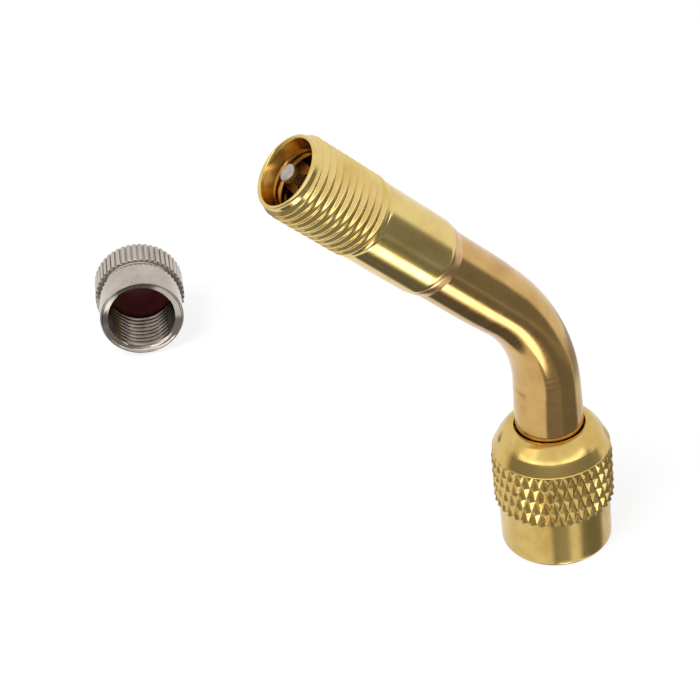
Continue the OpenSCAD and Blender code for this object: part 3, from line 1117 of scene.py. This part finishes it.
@dataclass
class Studio:
    """A white floor, two soft lamps, a room and a card for the metal to reflect, and the camera."""

    layout: Layout
    eye_mm: Triple = (-69.559, -124.251, 120.49)
    forward: Triple = (0.30865, 0.76931, -0.55938)
    up: Triple = (0.33628, 0.46185, 0.82074)
    focal_px: float = 1810.9
    width_px: float = 700.0
    sensor_mm: float = 36.0
    clip_m: Pair = (0.005, 10.0)
    aim_mm: Triple = (-8.0, 10.0, 20.0)
    grey_light: float = 0.55
    floor_half_m: float = 1.5
    floor_gap_m: float = 2e-5
    floor_white: float = 0.82
    card_from_deg: float = 9.0
    card_span_deg: float = 19.0
    card_steps: int = 8
    card_fade_steps: int = 3
    card_foot_mm: float = 5.6
    card_len_mm: float = 9.0
    card_glow: float = 0.95

    def camera(self) -> None:
        """Stands the camera where the photograph was taken from."""
        data = bpy.data.cameras.new("camera")
        data.sensor_width = self.sensor_mm
        data.lens = self.focal_px / self.width_px * self.sensor_mm
        data.clip_start, data.clip_end = self.clip_m
        camera = bpy.data.objects.new("camera", data)
        back = -Vector(self.forward).normalized()
        right = Vector(self.up).cross(back).normalized()
        up = back.cross(right)
        turn = Matrix((right, up, back)).transposed().to_4x4()
        camera.matrix_world = Matrix.Translation(Vector(self.eye_mm) * MM) @ turn
        bpy.context.scene.collection.objects.link(camera)
        bpy.context.scene.camera = camera

    def floor(self) -> None:
        """Lays the white paper floor, which keeps a faint shadow; metal sees the room in its place."""
        made, tree, out = start_material("white_paper_floor")
        path = add(tree, "ShaderNodeLightPath").outputs
        seen = add(tree, "ShaderNodeMath", {0: path["Is Camera Ray"], 1: path["Is Glossy Ray"]},
                   operation="MAXIMUM")
        seen = add(tree, "ShaderNodeMath", {0: seen.outputs[0], 1: path["Is Transmission Ray"]},
                   operation="MAXIMUM")
        share = add(tree, "ShaderNodeMath", {0: seen.outputs[0], 1: self.floor_white}, operation="MULTIPLY")
        paper = add(tree, "ShaderNodeBsdfDiffuse", {"Color": linear("#f4f4f4")})
        glow = add(tree, "ShaderNodeEmission", {"Color": WHITE, "Strength": 1.0})
        both = add(tree, "ShaderNodeMixShader",
                   {0: share.outputs[0], 1: paper.outputs[0], 2: glow.outputs[0]})
        tree.links.new(both.outputs[0], out.inputs["Surface"])
        mesh = bpy.data.meshes.new("floor")
        half, z = self.floor_half_m, self.layout.floor_z * MM - self.floor_gap_m
        corners = [(-half, -half, z), (half, -half, z), (half, half, z), (-half, half, z)]
        mesh.from_pydata(corners, [], [(0, 1, 2, 3)])
        mesh.materials.append(made)
        floor = bpy.data.objects.new("floor", mesh)
        bpy.context.scene.collection.objects.link(floor)
        floor.visible_glossy = False

    def room(self, tree: bpy.types.NodeTree) -> Socket:
        """Draws the white room with its dark and bright patches, by direction.

        Args:
            tree: Node tree of the world.

        Returns:
            How bright the room is in the direction looked at.
        """
        way = add(tree, "ShaderNodeSeparateXYZ", {0: add(tree, "ShaderNodeTexCoord").outputs["Generated"]})
        turn = add(tree, "ShaderNodeMath", {0: way.outputs["Y"], 1: way.outputs["X"]}, operation="ARCTAN2")
        rise = add(tree, "ShaderNodeMath", {0: way.outputs["Z"]}, operation="ARCSINE")
        level: Socket | float = 1.0
        for patch in ROOM:
            mask: Socket | float = 1.0
            for angle, (low, high) in ((turn, patch.azimuth), (rise, patch.elevation)):
                middle, half = math.radians((low + high) / 2.0), math.radians((high - low) / 2.0)
                edge = math.radians(patch.soft) / 2.0
                away = add(tree, "ShaderNodeMath", {0: angle.outputs[0], 1: middle}, operation="SUBTRACT")
                away = add(tree, "ShaderNodeMath", {0: away.outputs[0], 1: math.pi, 2: -math.pi},
                           operation="WRAP")
                away = add(tree, "ShaderNodeMath", {0: away.outputs[0]}, operation="ABSOLUTE")
                side = add(tree, "ShaderNodeMapRange",
                           {"Value": away.outputs[0], "From Min": half - edge, "From Max": half + edge,
                            "To Min": 1.0, "To Max": 0.0}, interpolation_type="SMOOTHSTEP")
                both = add(tree, "ShaderNodeMath", {0: mask, 1: side.outputs[0]}, operation="MULTIPLY")
                mask = both.outputs[0]
            mix = add(tree, "ShaderNodeMix", {FACTOR: mask, NUMBER_A: level, NUMBER_B: patch.strength})
            level = mix.outputs[NUMBER_OUT]
        return level

    def world(self) -> None:
        """Sets a white background for the eye, the room for metal, and a plain grey light for the rest."""
        world = bpy.data.worlds.new("studio")
        bpy.context.scene.world = world
        world.use_nodes = True
        tree = world.node_tree
        tree.nodes.clear()
        path = add(tree, "ShaderNodeLightPath").outputs
        seen = add(tree, "ShaderNodeMath", {0: path["Is Camera Ray"], 1: path["Is Transmission Ray"]},
                   operation="MAXIMUM")
        grey = add(tree, "ShaderNodeMapRange",
                   {"Value": seen.outputs[0], "To Min": self.grey_light, "To Max": 1.0})
        strength = add(tree, "ShaderNodeMix",
                       {FACTOR: path["Is Glossy Ray"], NUMBER_A: grey.outputs[0], NUMBER_B: self.room(tree)})
        light = add(tree, "ShaderNodeBackground",
                    {"Color": WHITE, "Strength": strength.outputs[NUMBER_OUT]})
        out = add(tree, "ShaderNodeOutputWorld")
        tree.links.new(light.outputs[0], out.inputs["Surface"])

    def lamps(self) -> None:
        """Hangs the soft lamps round the part."""
        aim = Vector(self.aim_mm) * MM
        for lamp in LAMPS:
            data = bpy.data.lights.new(lamp.name, "AREA")
            data.shape = "RECTANGLE"
            data.size, data.size_y = lamp.size
            data.energy = lamp.watts
            made = bpy.data.objects.new(lamp.name, data)
            made.location = lamp.spot
            made.rotation_mode = "QUATERNION"
            made.rotation_quaternion = (aim - Vector(lamp.spot)).to_track_quat("-Z", "Y")
            made.visible_glossy = False
            bpy.context.scene.collection.objects.link(made)

    def card(self) -> None:
        """Lays a small white card with soft sides beside the nut, which only the metal sees."""
        made, tree, out = start_material("white_card")
        glow = add(tree, "ShaderNodeEmission", {"Color": WHITE, "Strength": self.card_glow})
        fade = add(tree, "ShaderNodeAttribute", attribute_name="fade").outputs["Fac"]
        clear = add(tree, "ShaderNodeBsdfTransparent")
        both = add(tree, "ShaderNodeMixShader", {0: fade, 1: clear.outputs[0], 2: glow.outputs[0]})
        tree.links.new(both.outputs[0], out.inputs["Surface"])
        last, points = self.card_steps, self.card_steps + 1
        ground = Vector((0.0, 0.0, self.layout.floor_z))
        front = math.atan2(self.eye_mm[1], self.eye_mm[0])
        near, far, shares = [], [], []
        for i in range(points):
            side = math.radians(self.card_from_deg + self.card_span_deg * i / last)
            foot = Vector((math.cos(front + side), math.sin(front + side), 0.0)) * self.card_foot_mm
            away = Vector((math.cos(front + 2.0 * side), math.sin(front + 2.0 * side), 0.0)) * self.card_len_mm
            near.append(tuple((foot + ground) * MM))
            far.append(tuple((foot + away + ground) * MM))
            shares.append(ramp(i, 0, self.card_fade_steps) * (1.0 - ramp(i, last - self.card_fade_steps, last)))
        mesh = bpy.data.meshes.new("white_card")
        mesh.from_pydata(near + far, [], [(i, i + points, i + points + 1, i + 1) for i in range(last)])
        mesh.attributes.new("fade", "FLOAT", "POINT").data.foreach_set("value", shares + shares)
        mesh.materials.append(made)
        card = bpy.data.objects.new("white_card", mesh)
        bpy.context.scene.collection.objects.link(card)
        card.visible_camera = card.visible_diffuse = card.visible_shadow = card.visible_transmission = False

    def build(self) -> None:
        """Sets up the whole studio."""
        self.camera()
        self.floor()
        self.world()
        self.lamps()
        self.card()
        bpy.context.scene.view_settings.view_transform = "Standard"
        LOG.info("studio ready")


def main() -> None:
    """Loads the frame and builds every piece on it."""
    logging.basicConfig(level=logging.INFO, format="%(name)s: %(message)s")
    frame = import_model()
    layout = Layout()
    Studio(layout).build()
    BentTube(layout).build()
    ValveBarrel(layout).build()
    BrazeFillet(layout).build()
    SwivelNut().build()
    ValveCore(layout).build()
    DustCap(layout).build()
    HiddenParts(frame["nodes"]).dress()


if __name__ == "__main__":
    main()
